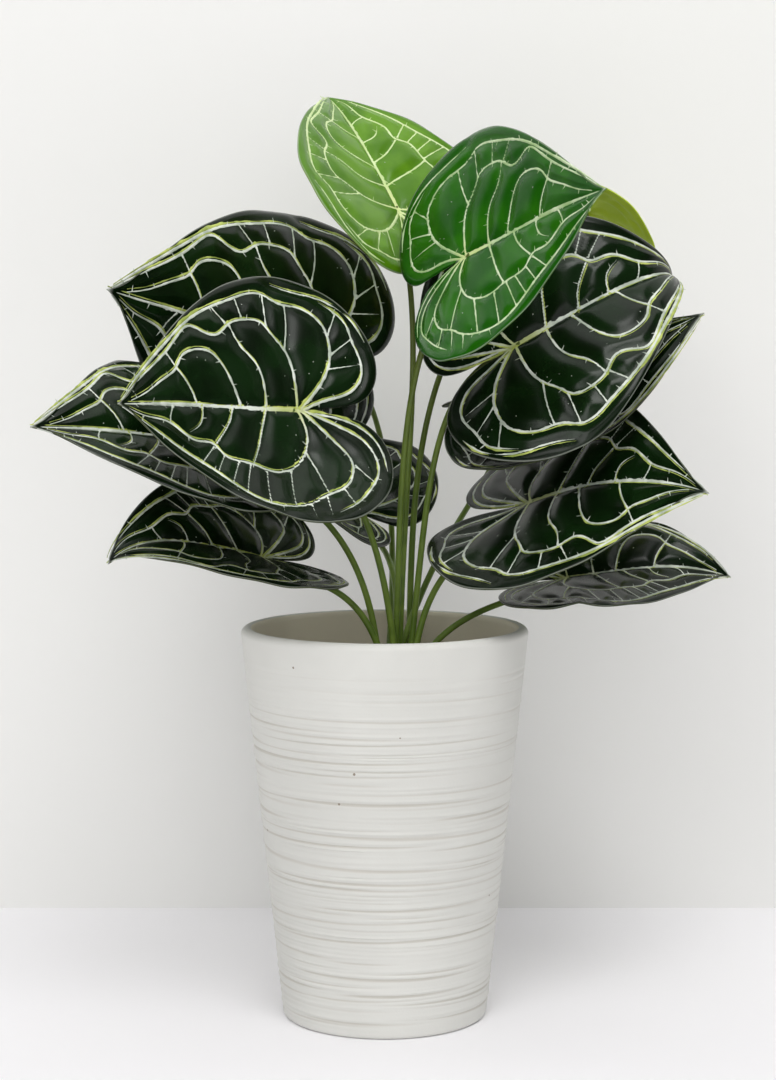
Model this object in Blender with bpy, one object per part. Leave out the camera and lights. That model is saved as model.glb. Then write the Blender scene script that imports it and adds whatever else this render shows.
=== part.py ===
"""Heart-leaved foliage plant in a tall tapered pot, built in metres with +Z up.

The pot stands on the ground plane with its axis on Z. The plant is twelve leaf
blades on twelve stems, and the stems stand in holes in the soil.
"""

from dataclasses import dataclass
from math import cos, pi, radians, sin

import bmesh
import bpy
import numpy as np
from mathutils import Quaternion, Vector
from mathutils.bvhtree import BVHTree
from mathutils.geometry import interpolate_bezier

MM = 0.001

# Pot, a straight taper with a rounded lip and a rounded foot
POT_HEIGHT = 245.5 * MM
RIM_RADIUS = 90 * MM
FOOT_RADIUS = 64 * MM
WALL = 8 * MM
FLOOR = 12 * MM
LIP_ROUND = 3.9 * MM
FOOT_ROUND = 3 * MM
POT_SEGMENTS = 64
FOOT_STEPS = 3
LIP_STEPS = 6

# Soil, filled to a little below the rim
SOIL_BELOW_RIM = 28.5 * MM
SOIL_TOP = POT_HEIGHT - SOIL_BELOW_RIM
SEAT_GAP = 0.3 * MM

# Leaf blades
BLADE_THICKNESS = 0.9 * MM
OUTLINE_ROWS = 18
HALF_COLUMNS = 4
ROW_CROWDING = 1.6
MIDRIB_SAMPLES = 1201
FLATTEST_CURL = 1e-4

# Stems
STEM_SUNK = 12 * MM
STEM_FOOT_RADIUS = 2.1 * MM
STEM_NECK_RADIUS = 1.7 * MM
STEM_HOLE_GAP = 0.4 * MM
STEM_STEPS = 12
STEM_SIDE_STEPS = 2
NECK_STEP = 0.1 * MM
NECK_STEPS = 60
NECK_SAMPLES = 60
NECK_RIM_TURN = 15

WELD = 1e-6
SHARP_ANGLE = radians(40)

# Half of the blade's outline for a blade of length 1, from the tip round to the notch
# behind the hub. The hub, where the stem joins, is at (0, 0) and the midrib lies on X.
HALF_OUTLINE = (
    (0.670, 0.000), (0.628, 0.020), (0.575, 0.062), (0.500, 0.135), (0.400, 0.235),
    (0.280, 0.340), (0.150, 0.430), (0.030, 0.472), (-0.090, 0.462), (-0.200, 0.402),
    (-0.280, 0.308), (-0.322, 0.200), (-0.318, 0.110), (-0.270, 0.045),
    (-0.190, 0.018), (-0.100, 0.006), (-0.060, 0.000),
)
TIP_X = 0.67
NOTCH_X = -0.06
LOBE_X = -0.33
HALF_WIDTH = 0.472
STEM_JOINT_X = -0.012
HUB_REACH = 0.02
MIDRIB_ENDS = (-0.4, 0.8)


@dataclass
class Leaf:
    """A blade's place and its bends, in millimetres and degrees.

    The heading is measured from +X round to +Y, the rise is the midrib's slope at the
    hub, and the roll turns the blade about its midrib. The pairs are for the blade's
    +Y half and its -Y half.
    """

    name: str
    skin: str
    hub: tuple
    length: float
    heading: float
    rise: float
    roll: float
    droop: float
    lobe_rise: float
    fold: tuple
    curl: tuple
    stem_foot: tuple
    stem_leaves: tuple
    stem_arrives: tuple
    lobe_fold: tuple = (0, 0)
    twist: float = 0
    sweep: float = 0
    width: float = 1.0
    droop_power: float = 1.7


LEAVES = (
    Leaf("top_left", "lime", (6, 53, 510), 176, 128, 50, 12, 30, 14, (27, 9), (-1, -30),
         (9, 3), (10, -11, 354), (30, 59, 426), twist=-2, sweep=-13, droop_power=1.6),
    Leaf("top_front", "green", (52, -58, 475.5), 169, -39, 22, -8, 8.5, 25, (57, -48),
         (1, 6), (6, -4), (11, -3, 356), (8, -10, 416), (10, -4), 18, -32.5, 1.05, 1.5),
    Leaf("top_back", "olive", (134, 95, 504), 137, 56, -38, -21, 23, 16, (8, 2),
         (-10, -17), (15.5, 10.5), (16, 28, 352), (19, 80, 449), (0, 11), 2),
    Leaf("left_upper", "dark", (-53, 52, 417), 219, 209, 14, 100, -18, 16, (-6, -16),
         (-46, -47), (1, 18), (13, 205, 312), (-2, 159, 419), (5, 10), -1, -6, 1.03, 1.9),
    Leaf("left_front", "dark", (-57, -62, 383), 187, 209, 4, 82, -33, -5, (14, -11),
         (43, -19), (7.5, -10.5), (2, -10, 325), (-34, -25, 352), (7, 3), 0, 8, 1.02),
    Leaf("left_outer", "dark", (-108, -48, 364), 168, 219, 6, 45, 16, 9, (17, 15),
         (-2, -52), (-2.5, -11), (-7, 0, 347), (-94, -15, 331), (-2, 4), -10, -16, 1.01,
         1.6),
    Leaf("left_low", "dark", (-80, -20.5, 291.5), 149, 212, 14, 22.5, 77.5, -1, (12, 29),
         (0, -28), (3, -17), (-10, -18, 299), (-73, -8, 266), (-3, 10), -15, -9, 1.04, 3.3),
    Leaf("centre_back", "dark", (-23, 94, 312), 140, 146, 20, 23, 20, 10, (24, 26),
         (26, -19), (7, 15), (11, 23, 293), (3, 96, 279), (-11, -1), -1),
    Leaf("right_big", "dark", (85, -18, 423), 193, -2, 29, -64, 97, 21, (9, 23),
         (-15, -27), (13.5, -3), (29, -1, 344), (26, 15, 397), (-13, 2), 7, 17, 0.96, 2.4),
    Leaf("right_back", "dark", (87.5, 1, 397), 175, -13, 17.5, -57, -4, -8, (-31, -31),
         (-28, 94), (3, 10), (32, -14, 319), (75, 185, 310), (-21, 7), 0, 12, 0.93, 1.8),
    Leaf("right_middle", "dark", (95, -4, 325), 192, -36, 19, -34, 19, -15, (10, 2),
         (-10, -3), (17, -9.5), (19.5, -8, 312), (88, 13, 296), (1, 1), 24, -47, 1.02, 1.8),
    Leaf("right_low", "dark", (119.5, 14, 275), 151, -3, 9, -28, 35, -3.5, (15, 19),
         (-62, 5), (17, 3), (29, 3, 263), (105, 26, 260), (-17, -14), 23.5, 5, 1.05, 2),
)

# Surface colour, roughness and metallic value of each material
FINISHES = {
    "pot": ((0.82, 0.79, 0.74), 0.55, 0.0),
    "soil": ((0.055, 0.036, 0.024), 0.95, 0.0),
    "stem": ((0.085, 0.110, 0.022), 0.45, 0.0),
    "dark": ((0.012, 0.028, 0.018), 0.30, 0.0),
    "lime": ((0.150, 0.370, 0.035), 0.38, 0.0),
    "green": ((0.045, 0.210, 0.020), 0.36, 0.0),
    "olive": ((0.280, 0.380, 0.025), 0.42, 0.0),
}


def clear_scene():
    for item in list(bpy.data.objects):
        bpy.data.objects.remove(item, do_unlink=True)


def make_material(name):
    colour, roughness, metallic = FINISHES[name]
    material = bpy.data.materials.new(name)
    material.use_nodes = True
    shader = material.node_tree.nodes["Principled BSDF"]
    shader.inputs["Base Color"].default_value = (*colour, 1)
    shader.inputs["Roughness"].default_value = roughness
    shader.inputs["Metallic"].default_value = metallic
    return material


def object_from(shape, name, material):
    """An object made of a bmesh, smooth but for its sharp edges, with one material."""
    mesh = bpy.data.meshes.new(name)
    shape.to_mesh(mesh)
    shape.free()
    mesh.shade_smooth()
    mesh.set_sharp_from_angle(angle=SHARP_ANGLE)
    mesh.materials.append(material)
    made = bpy.data.objects.new(name, mesh)
    bpy.context.scene.collection.objects.link(made)
    return made


def arc(centre, radius, start, end, steps):
    """Points of an arc in the XZ plane, with angles in degrees from +X towards +Z."""
    angles = np.radians(np.linspace(start, end, steps + 1))
    return [(centre[0] + radius * cos(a), centre[1] + radius * sin(a)) for a in angles]


def turned(profile, segments):
    """A closed solid turned about Z from (radius, height) points that start and end on the axis."""
    shape = bmesh.new()
    points = [shape.verts.new((radius, 0, height)) for radius, height in profile]
    edges = [shape.edges.new(pair) for pair in zip(points, points[1:])]
    bmesh.ops.spin(
        shape, geom=points + edges, cent=(0, 0, 0), axis=(0, 0, 1), angle=2 * pi,
        steps=segments, use_merge=True,
    )
    bmesh.ops.remove_doubles(shape, verts=shape.verts[:], dist=WELD)
    bmesh.ops.recalc_face_normals(shape, faces=shape.faces[:])
    return shape


def outer_radius(height):
    """The pot's outer radius, before the lip and the foot are rounded."""
    return FOOT_RADIUS + (RIM_RADIUS - FOOT_RADIUS) * height / POT_HEIGHT


def inner_radius(height):
    return outer_radius(height) - WALL


def make_pot(material):
    foot_centre = (outer_radius(FOOT_ROUND) - FOOT_ROUND, FOOT_ROUND)
    lip_height = POT_HEIGHT - LIP_ROUND
    lip_centre = (outer_radius(lip_height) - WALL / 2, lip_height)
    profile = [(0, 0)]
    profile += arc(foot_centre, FOOT_ROUND, -90, 0, FOOT_STEPS)
    profile += arc(lip_centre, WALL / 2, 0, 180, LIP_STEPS)
    profile += [(inner_radius(FLOOR), FLOOR), (0, FLOOR)]
    return object_from(turned(profile, POT_SEGMENTS), "pot", material)


def make_soil(material, stems):
    """A plug that fills the pot, with a plain hole for the foot of each stem."""
    bottom = FLOOR + SEAT_GAP
    profile = [
        (0, bottom),
        (inner_radius(bottom) - SEAT_GAP, bottom),
        (inner_radius(SOIL_TOP) - SEAT_GAP, SOIL_TOP),
        (0, SOIL_TOP),
    ]
    soil = object_from(turned(profile, POT_SEGMENTS), "soil", material)
    holes = bpy.data.collections.new("stem_holes")
    for name, path in stems:
        cutter = mesh_copy(stem_curve("hole_" + name, path, STEM_HOLE_GAP, material))
        holes.objects.link(cutter)
    cut = soil.modifiers.new("stem_holes", "BOOLEAN")
    cut.operand_type = "COLLECTION"
    cut.collection = holes
    cut.operation = "DIFFERENCE"
    replace_mesh_by_evaluated(soil)
    soil.modifiers.clear()
    for cutter in list(holes.objects):
        bpy.data.objects.remove(cutter, do_unlink=True)
    bpy.data.collections.remove(holes)
    return soil


def evaluated_mesh(item):
    bpy.context.view_layer.update()
    graph = bpy.context.evaluated_depsgraph_get()
    return bpy.data.meshes.new_from_object(item.evaluated_get(graph))


def replace_mesh_by_evaluated(item):
    item.data = evaluated_mesh(item)


def mesh_copy(curve_item):
    """Turns a curve object into a mesh object that is in no collection yet."""
    mesh = evaluated_mesh(curve_item)
    name = curve_item.name
    bpy.data.objects.remove(curve_item, do_unlink=True)
    return bpy.data.objects.new(name, mesh)


def spline_through(points, count):
    """Points evenly spaced along the natural cubic spline through the given ones."""
    points = np.array(points, float)
    knots = np.concatenate([[0], np.cumsum(np.linalg.norm(np.diff(points, axis=0), axis=1))])
    gaps = np.diff(knots)
    system = np.eye(len(points))
    right = np.zeros_like(points)
    for i in range(1, len(points) - 1):
        system[i, i - 1 : i + 2] = gaps[i - 1], 2 * (gaps[i - 1] + gaps[i]), gaps[i]
        slope = (points[i + 1] - points[i]) / gaps[i] - (points[i] - points[i - 1]) / gaps[i - 1]
        right[i] = 6 * slope
    bends = np.linalg.solve(system, right)
    places = np.linspace(0, knots[-1], count)
    k = np.clip(np.searchsorted(knots, places) - 1, 0, len(gaps) - 1)
    gap = gaps[k][:, None]
    ahead = knots[k + 1][:, None] - places[:, None]
    behind = places[:, None] - knots[k][:, None]
    curve = (bends[k] * ahead**3 + bends[k + 1] * behind**3) / (6 * gap)
    line = (points[k] / gap - bends[k] * gap / 6) * ahead
    return curve + line + (points[k + 1] / gap - bends[k + 1] * gap / 6) * behind


def bent_midrib(leaf):
    """The midrib's X, Z and slope along the flat blade's X, in blade lengths."""
    flat = np.linspace(*MIDRIB_ENDS, MIDRIB_SAMPLES)
    droop = -radians(leaf.droop) * (np.clip(flat, 0, None) / TIP_X) ** leaf.droop_power
    rise = radians(leaf.lobe_rise) * np.clip(flat, None, 0) / LOBE_X
    slope = np.where(flat >= 0, droop, rise)
    step = flat[1] - flat[0]
    runs = [
        np.concatenate([[0], np.cumsum((wave[1:] + wave[:-1]) / 2 * step)])
        for wave in (np.cos(slope), np.sin(slope))
    ]
    hub = np.abs(flat).argmin()
    return flat, runs[0] - runs[0][hub], runs[1] - runs[1][hub], slope


def blade_surface(leaf, flat_points):
    """Where points of the flat blade lie in the bent blade, in metres."""
    x = flat_points[:, 0]
    y = flat_points[:, 1] * leaf.width
    upper = y >= 0
    away = np.abs(y)
    lobe = np.where(upper, *leaf.lobe_fold) * np.clip(x, None, 0) / LOBE_X
    fold = np.radians(np.where(upper, *leaf.fold) + lobe)
    bend = np.radians(np.where(upper, *leaf.curl))
    bend = np.where(np.abs(bend) < FLATTEST_CURL, FLATTEST_CURL, bend) / HALF_WIDTH
    across = (np.sin(fold + bend * away) - np.sin(fold)) / bend * np.where(upper, 1, -1)
    lift = (np.cos(fold) - np.cos(fold + bend * away)) / bend
    turn = radians(leaf.twist) * x / TIP_X
    across, lift = (
        across * np.cos(turn) - lift * np.sin(turn),
        across * np.sin(turn) + lift * np.cos(turn),
    )
    across = across + radians(leaf.sweep) / 2 * np.clip(x, 0, None) ** 2
    flat, rib_x, rib_z, slope = bent_midrib(leaf)
    slope = np.interp(x, flat, slope)
    along = np.interp(x, flat, rib_x) - np.sin(slope) * lift
    up = np.interp(x, flat, rib_z) + np.cos(slope) * lift
    local = np.stack([along, across, up], axis=1) * leaf.length * MM
    return local @ np.array(blade_axes(leaf)) + np.array(leaf.hub) * MM


def hub_normal(leaf):
    """Unit vector out of the bent blade's face at the hub, midway between its halves."""
    near = HUB_REACH
    hub, ahead, left, right = blade_surface(
        leaf, np.array([(0, 0), (near, 0), (0, near), (0, -near)], float)
    )
    return Vector(ahead - hub).cross(Vector(left - right)).normalized()


def blade_axes(leaf):
    """Unit vectors of the blade at its hub: along the midrib, across it, and out of its face."""
    heading, rise, roll = (radians(a) for a in (leaf.heading, leaf.rise, leaf.roll))
    along = Vector((cos(rise) * cos(heading), cos(rise) * sin(heading), sin(rise)))
    level = Vector((-sin(heading), cos(heading), 0))
    face = along.cross(level) * cos(roll) + level * sin(roll)
    return along, face.cross(along), face


def flat_half_blade():
    """Rows of points from the midrib out to the outline, for the flat blade's +Y half."""
    outline = spline_through(HALF_OUTLINE, OUTLINE_ROWS + 1)[1:-1]
    share = np.linspace(0, 1, OUTLINE_ROWS + 1)[1:-1]
    ribs = TIP_X + (NOTCH_X - TIP_X) * (1 - (1 - share) ** ROW_CROWDING)
    rows = []
    for rib, edge in zip(ribs, outline):
        out = np.linspace(0, 1, HALF_COLUMNS + 1)[:, None]
        rows.append(np.array([rib, 0]) * (1 - out) + edge * out)
    return rows


def make_blade(leaf, material):
    """A thin shell, triangulated before it gets its thickness so both faces match."""
    shape = bmesh.new()
    tip, notch = (
        shape.verts.new(point)
        for point in blade_surface(leaf, np.array([(TIP_X, 0.0), (NOTCH_X, 0.0)]))
    )
    rows = flat_half_blade()
    ribs = None
    for side in (1, -1):
        lines = []
        for i, row in enumerate(rows):
            flat = row * (1, side)
            flat[0, 1] = 0.0
            made = [shape.verts.new(point) for point in blade_surface(leaf, flat)[1:]]
            rib = ribs[i] if ribs else shape.verts.new(blade_surface(leaf, flat)[0])
            lines.append([rib] + made)
        ribs = [line[0] for line in lines]
        for near, far in zip(lines, lines[1:]):
            for a, b, c, d in zip(near, near[1:], far[1:], far):
                shape.faces.new((a, b, c, d) if side < 0 else (a, d, c, b))
        for line, end, flip in ((lines[0], tip, side > 0), (lines[-1], notch, side < 0)):
            for a, b in zip(line, line[1:]):
                shape.faces.new((end, a, b) if flip else (end, b, a))
    bmesh.ops.triangulate(shape, faces=shape.faces[:])
    blade = object_from(shape, "leaf_" + leaf.name, material)
    shell = blade.modifiers.new("thickness", "SOLIDIFY")
    shell.thickness = BLADE_THICKNESS
    shell.offset = 0
    return blade


def stem_curve(name, path, extra_radius, material):
    """A round tube along one Bezier span, with filled ends."""
    foot, leaves, arrives, neck = path
    data = bpy.data.curves.new(name, "CURVE")
    data.dimensions = "3D"
    data.resolution_u = STEM_STEPS
    data.bevel_depth = STEM_FOOT_RADIUS + extra_radius
    data.bevel_resolution = STEM_SIDE_STEPS
    data.use_fill_caps = True
    spline = data.splines.new("BEZIER")
    spline.bezier_points.add(1)
    start, end = spline.bezier_points
    start.handle_left_type = start.handle_right_type = "FREE"
    end.handle_left_type = end.handle_right_type = "FREE"
    below = (foot - leaves).normalized() * extra_radius
    start.co = foot + below
    start.handle_left = foot + 2 * below
    start.handle_right = leaves
    end.co = neck
    end.handle_left = arrives
    end.handle_right = 2 * neck - arrives
    end.radius = (STEM_NECK_RADIUS + extra_radius) / (STEM_FOOT_RADIUS + extra_radius)
    data.materials.append(material)
    made = bpy.data.objects.new(name, data)
    bpy.context.scene.collection.objects.link(made)
    return made


def stem_path(leaf, blade):
    """The stem's foot in the soil, its two handles, and its neck just under the blade."""
    foot = Vector((leaf.stem_foot[0] * MM, leaf.stem_foot[1] * MM, SOIL_TOP - STEM_SUNK))
    leaves, arrives = (Vector(p) * MM for p in (leaf.stem_leaves, leaf.stem_arrives))
    joint = Vector(blade_surface(leaf, np.array([(STEM_JOINT_X, 0.0)]))[0])
    normal = hub_normal(leaf)
    tree = BVHTree.FromObject(blade, bpy.context.evaluated_depsgraph_get())
    for step in range(NECK_STEPS):
        neck = joint - normal * (BLADE_THICKNESS / 2 + SEAT_GAP + step * NECK_STEP)
        if clearance(tree, (foot, leaves, arrives, neck)) > SEAT_GAP:
            break
    return foot, leaves, arrives, neck


def clearance(tree, path):
    """The least distance from the upper part of a stem, with its flat end, to a blade."""
    centre = interpolate_bezier(*path, NECK_SAMPLES)[NECK_SAMPLES // 2 :]
    nearest = min(tree.find_nearest(point)[3] for point in centre[:-2])
    axis = (path[3] - path[2]).normalized()
    side = axis.orthogonal().normalized() * STEM_NECK_RADIUS
    turns = range(0, 360, NECK_RIM_TURN)
    rim = [path[3] + Quaternion(axis, radians(turn)) @ side for turn in turns]
    return min([nearest - STEM_NECK_RADIUS] + [tree.find_nearest(p)[3] for p in rim])


def build():
    clear_scene()
    materials = {name: make_material(name) for name in FINISHES}
    blades = [make_blade(leaf, materials[leaf.skin]) for leaf in LEAVES]
    bpy.context.view_layer.update()
    stems = []
    for leaf, blade in zip(LEAVES, blades):
        path = stem_path(leaf, blade)
        stem_curve("stem_" + leaf.name, path, 0, materials["stem"])
        stems.append((leaf.name, path))
    make_pot(materials["pot"])
    make_soil(materials["soil"], stems)


build()
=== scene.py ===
from dataclasses import dataclass
from math import cos, hypot, pi, radians, sin

import bmesh
import bpy
import numpy as np
from mathutils import Matrix, Vector, noise
from mathutils.geometry import interpolate_bezier


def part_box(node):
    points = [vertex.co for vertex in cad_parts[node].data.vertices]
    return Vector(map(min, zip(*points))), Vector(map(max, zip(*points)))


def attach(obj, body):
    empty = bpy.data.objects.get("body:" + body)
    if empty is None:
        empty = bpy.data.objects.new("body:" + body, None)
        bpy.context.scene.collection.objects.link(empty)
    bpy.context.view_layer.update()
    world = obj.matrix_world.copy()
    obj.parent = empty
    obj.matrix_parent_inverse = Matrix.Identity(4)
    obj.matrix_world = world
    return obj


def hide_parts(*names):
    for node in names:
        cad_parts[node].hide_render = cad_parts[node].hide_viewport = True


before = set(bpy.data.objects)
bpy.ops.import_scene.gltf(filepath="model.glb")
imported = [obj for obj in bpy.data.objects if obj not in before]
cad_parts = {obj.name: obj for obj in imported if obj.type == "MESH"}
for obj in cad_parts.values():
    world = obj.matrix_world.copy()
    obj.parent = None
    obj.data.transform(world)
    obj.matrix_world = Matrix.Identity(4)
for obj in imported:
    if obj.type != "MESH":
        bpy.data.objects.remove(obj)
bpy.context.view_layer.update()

MM = 0.001

# Heights read from the frame
POT_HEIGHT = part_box("pot")[1].z
SOIL_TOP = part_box("soil")[1].z

# The pot, the blades and the stems, as their solids have them
RIM_RADIUS = 90 * MM
FOOT_RADIUS = 64 * MM
WALL = 8 * MM
LIP_ROUND = 3.9 * MM
FOOT_ROUND = 3 * MM
BLADE_THICKNESS = 0.9 * MM
STEM_SUNK = 12 * MM
STEM_FOOT_RADIUS = 2.1 * MM
STEM_NECK_RADIUS = 1.7 * MM

# Half of the flat blade's outline for a blade of length 1, from the tip to the notch.
# The hub, where the stem joins, is at (0, 0) and the midrib lies on X.
HALF_OUTLINE = (
    (0.670, 0.000), (0.628, 0.020), (0.575, 0.062), (0.500, 0.135), (0.400, 0.235),
    (0.280, 0.340), (0.150, 0.430), (0.030, 0.472), (-0.090, 0.462), (-0.200, 0.402),
    (-0.280, 0.308), (-0.322, 0.200), (-0.318, 0.110), (-0.270, 0.045),
    (-0.190, 0.018), (-0.100, 0.006), (-0.060, 0.000),
)
TIP_X = 0.67
NOTCH_X = -0.06
LOBE_X = -0.33
HALF_WIDTH = 0.472
STEM_JOINT_X = -0.012

# Mesh fineness
BLADE_ROWS = 110
BLADE_COLUMNS = 42
POT_SIDES = 176
POT_ROWS = 400
STEM_STEPS = 90
STEM_SIDES = 14

# Relief of a blade's face. Heights are in metres and reaches in blade lengths.
SWELL_HEIGHT = 1.8 * MM
SWELL_REACH = 0.028
RIB_DEPTH = 0.6 * MM
RIB_REACH = 0.012
WAVE_HEIGHT = 0.5 * MM
WAVE_REACH = 0.03
WAVES = 31
MARGIN_REACH = 0.03

# The print's lines: how they spread, thin out towards the tip and lie on the face
LINE_SPREAD = 1.2
LINE_END_X = 0.70
LINE_TAPER = 0.28
LINE_THINNEST = 0.2
FREE_END_GAP = 0.012
FREE_END_TAPER = 0.05
FREE_END_THINNEST = 0.12
CHALK_LIFT = 0.17 * MM
YELLOW_LIFT = 0.11 * MM
YELLOW_SHIFT = np.array((0.0015, -0.0085))

# The pot's brushed strokes and the soil's crumbs
STROKES = 430
DEEPEST_STROKE = 0.7 * MM
HIGHEST_RIDGE = 0.5 * MM
POT_FLOOR = 12 * MM
SOIL_SIDE_GAP = 0.3 * MM
SOIL_DEPTH = 30 * MM
CRUMBS = 520


@dataclass
class Leaf:
    """A blade's place and bends in millimetres and degrees, as its solid has them."""

    name: str
    skin: str
    hub: tuple
    length: float
    heading: float
    rise: float
    roll: float
    droop: float
    lobe_rise: float
    fold: tuple
    curl: tuple
    stem_foot: tuple
    stem_leaves: tuple
    stem_arrives: tuple
    lobe_fold: tuple = (0, 0)
    twist: float = 0
    sweep: float = 0
    width: float = 1.0
    droop_power: float = 1.7
    mirrored: bool = False


LEAVES = (
    Leaf("top_left", "lime", (6, 53, 510), 176, 128, 50, 12, 30, 14, (27, 9), (-1, -30),
         (9, 3), (10, -11, 354), (30, 59, 426), twist=-2, sweep=-13, droop_power=1.6,
         mirrored=True),
    Leaf("top_front", "green", (52, -58, 475.5), 169, -39, 22, -8, 8.5, 25, (57, -48),
         (1, 6), (6, -4), (11, -3, 356), (8, -10, 416), (10, -4), 18, -32.5, 1.05, 1.5,
         True),
    Leaf("top_back", "olive", (134, 95, 504), 137, 56, -38, -21, 23, 16, (8, 2),
         (-10, -17), (15.5, 10.5), (16, 28, 352), (19, 80, 449), (0, 11), 2,
         mirrored=True),
    Leaf("left_upper", "dark", (-53, 52, 417), 219, 209, 14, 100, -18, 16, (-6, -16),
         (-46, -47), (1, 18), (13, 205, 312), (-2, 159, 419), (5, 10), -1, -6, 1.03, 1.9),
    Leaf("left_front", "dark", (-57, -62, 383), 187, 209, 4, 82, -33, -5, (14, -11),
         (43, -19), (7.5, -10.5), (2, -10, 325), (-34, -25, 352), (7, 3), 0, 8, 1.02),
    Leaf("left_outer", "dark", (-108, -48, 364), 168, 219, 6, 45, 16, 9, (17, 15),
         (-2, -52), (-2.5, -11), (-7, 0, 347), (-94, -15, 331), (-2, 4), -10, -16, 1.01,
         1.6),
    Leaf("left_low", "dark", (-80, -20.5, 291.5), 149, 212, 14, 22.5, 77.5, -1, (12, 29),
         (0, -28), (3, -17), (-10, -18, 299), (-73, -8, 266), (-3, 10), -15, -9, 1.04, 3.3,
         True),
    Leaf("centre_back", "dark", (-23, 94, 312), 140, 146, 20, 23, 20, 10, (24, 26),
         (26, -19), (7, 15), (11, 23, 293), (3, 96, 279), (-11, -1), -1),
    Leaf("right_big", "dark", (85, -18, 423), 193, -2, 29, -64, 97, 21, (9, 23),
         (-15, -27), (13.5, -3), (29, -1, 344), (26, 15, 397), (-13, 2), 7, 17, 0.96, 2.4),
    Leaf("right_back", "dark", (87.5, 1, 397), 175, -13, 17.5, -57, -4, -8, (-31, -31),
         (-28, 94), (3, 10), (32, -14, 319), (75, 185, 310), (-21, 7), 0, 12, 0.93, 1.8),
    Leaf("right_middle", "dark", (95, -4, 325), 192, -36, 19, -34, 19, -15, (10, 2),
         (-10, -3), (17, -9.5), (19.5, -8, 312), (88, 13, 296), (1, 1), 24, -47, 1.02, 1.8),
    Leaf("right_low", "dark", (119.5, 14, 275), 151, -3, 9, -28, 35, -3.5, (15, 19),
         (-62, 5), (17, 3), (29, 3, 263), (105, 26, 260), (-17, -14), 23.5, 5, 1.05, 2,
         True),
)

# The print's veins on the flat blade, as (width, points), drawn outwards from the midrib
# or the hub. Widths are in thousandths of the blade's length.
PLUS_VEINS = (
    (7, ((0.42, 0.00), (0.44, 0.03), (0.45, 0.06))),
    (9, ((0.31, 0.00), (0.33, 0.06), (0.38, 0.09))),
    (10, ((0.20, 0.00), (0.22, 0.05), (0.26, 0.10), (0.29, 0.13))),
    (11, ((0.08, 0.00), (0.11, 0.08), (0.14, 0.15), (0.17, 0.20))),
    (12, ((-0.03, 0.00), (-0.05, 0.08), (-0.03, 0.15), (0.04, 0.22), (0.11, 0.23),
          (0.18, 0.20), (0.27, 0.17), (0.30, 0.13), (0.36, 0.12), (0.41, 0.09),
          (0.45, 0.06), (0.54, 0.04), (0.65, 0.00))),
    (8, ((-0.03, 0.15), (-0.05, 0.22), (-0.06, 0.32))),
    (13, ((-0.04, 0.00), (-0.11, 0.07), (-0.15, 0.12), (-0.18, 0.17), (-0.17, 0.24),
          (-0.12, 0.30), (-0.05, 0.33), (0.02, 0.37), (0.09, 0.385), (0.17, 0.37),
          (0.24, 0.32), (0.28, 0.28), (0.32, 0.24), (0.37, 0.20), (0.43, 0.155),
          (0.50, 0.10), (0.65, 0.01))),
    (6, ((0.30, 0.14), (0.37, 0.20))),
    (6, ((0.27, 0.17), (0.32, 0.235))),
    (6, ((0.22, 0.19), (0.28, 0.28))),
    (6, ((0.18, 0.20), (0.24, 0.32))),
    (7, ((0.13, 0.23), (0.17, 0.37))),
    (7, ((0.04, 0.22), (0.08, 0.38))),
    (12, ((-0.05, 0.00), (-0.14, 0.04), (-0.20, 0.07), (-0.25, 0.11), (-0.27, 0.16),
          (-0.26, 0.24), (-0.21, 0.31), (-0.15, 0.37), (-0.06, 0.42))),
    (8, ((-0.07, 0.01), (-0.19, 0.03), (-0.25, 0.06), (-0.285, 0.10), (-0.30, 0.16),
         (-0.295, 0.23))),
    (7, ((-0.05, 0.33), (-0.03, 0.43))),
    (7, ((-0.12, 0.30), (-0.13, 0.38))),
    (7, ((-0.19, 0.20), (-0.235, 0.28))),
    (6, ((0.02, 0.37), (0.03, 0.44))),
    (6, ((0.13, 0.385), (0.14, 0.41))),
)
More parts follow.
